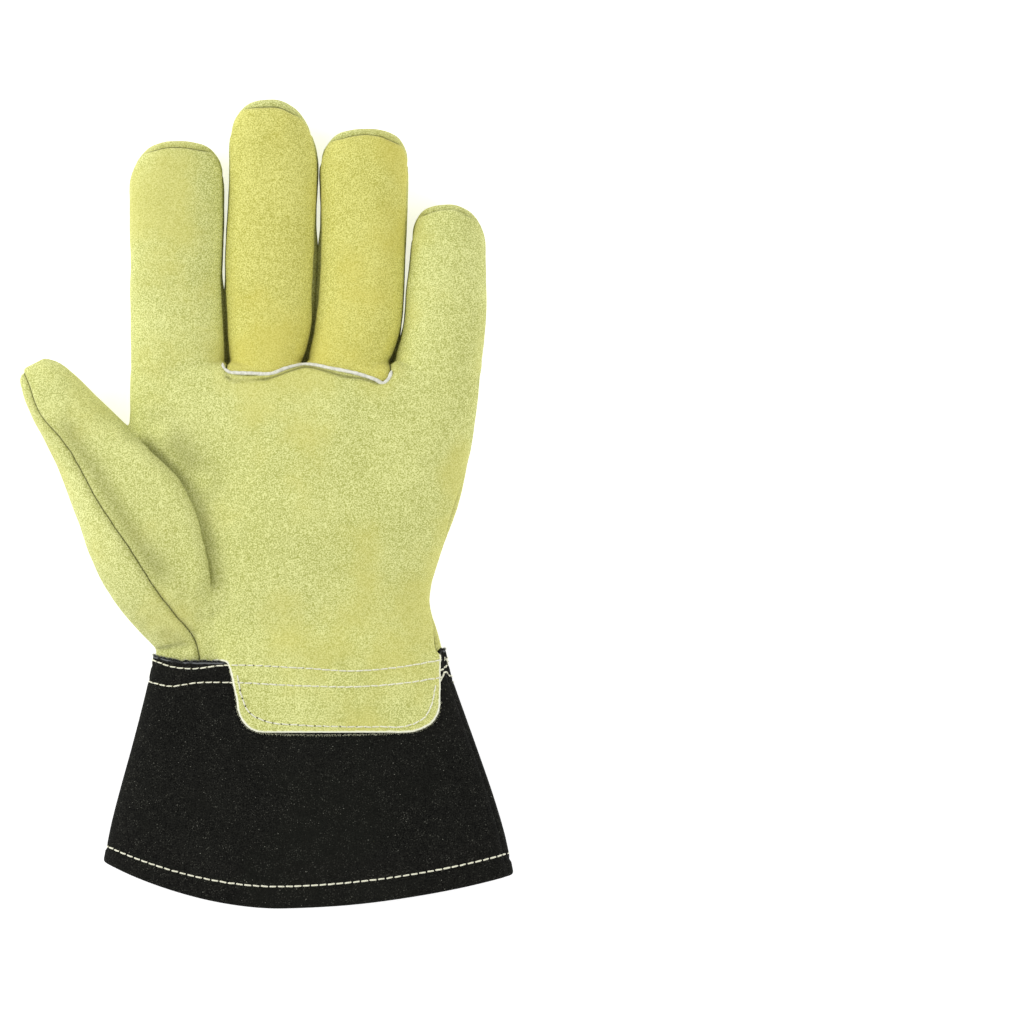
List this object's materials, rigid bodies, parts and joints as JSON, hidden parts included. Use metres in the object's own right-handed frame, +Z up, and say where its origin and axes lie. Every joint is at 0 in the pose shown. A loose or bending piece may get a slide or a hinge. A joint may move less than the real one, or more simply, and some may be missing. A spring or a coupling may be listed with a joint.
{
  "type": "split leather work glove",
  "caption": "Left-hand split leather work glove lying palm up, with sewn finger strips, a set-in thumb, a tab and a flared open cuff.",
  "frame": {"origin": "middle of the glove's footprint, on the surface that it lies on", "axes": "+Y towards the fingertips, +Z up out of the palm, thumb towards -X"},
  "size_m": [0.1766, 0.2896, 0.0347],
  "materials": {
    "palm_suede": "napped split leather, mottled lime yellow",
    "finger_suede": "napped split leather, slightly yellower",
    "back_suede": "napped split leather, lime yellow",
    "strip_suede": "napped split leather strips",
    "cuff_suede": "black napped split leather with pale fibres",
    "welt": "smooth white piping"
  },
  "bodies": {
    "root": {"palm_panel": "palm_suede", "middle_front": "finger_suede", "ring_front": "finger_suede", "back_panel": "back_suede", "thumb_back": "back_suede", "fourchette_index_middle": "strip_suede", "fourchette_middle_ring": "strip_suede", "fourchette_ring_little": "strip_suede", "knuckle_welt": "welt", "cuff_palm_side": "cuff_suede", "cuff_back_side": "cuff_suede"}
  },
  "joints": []
}
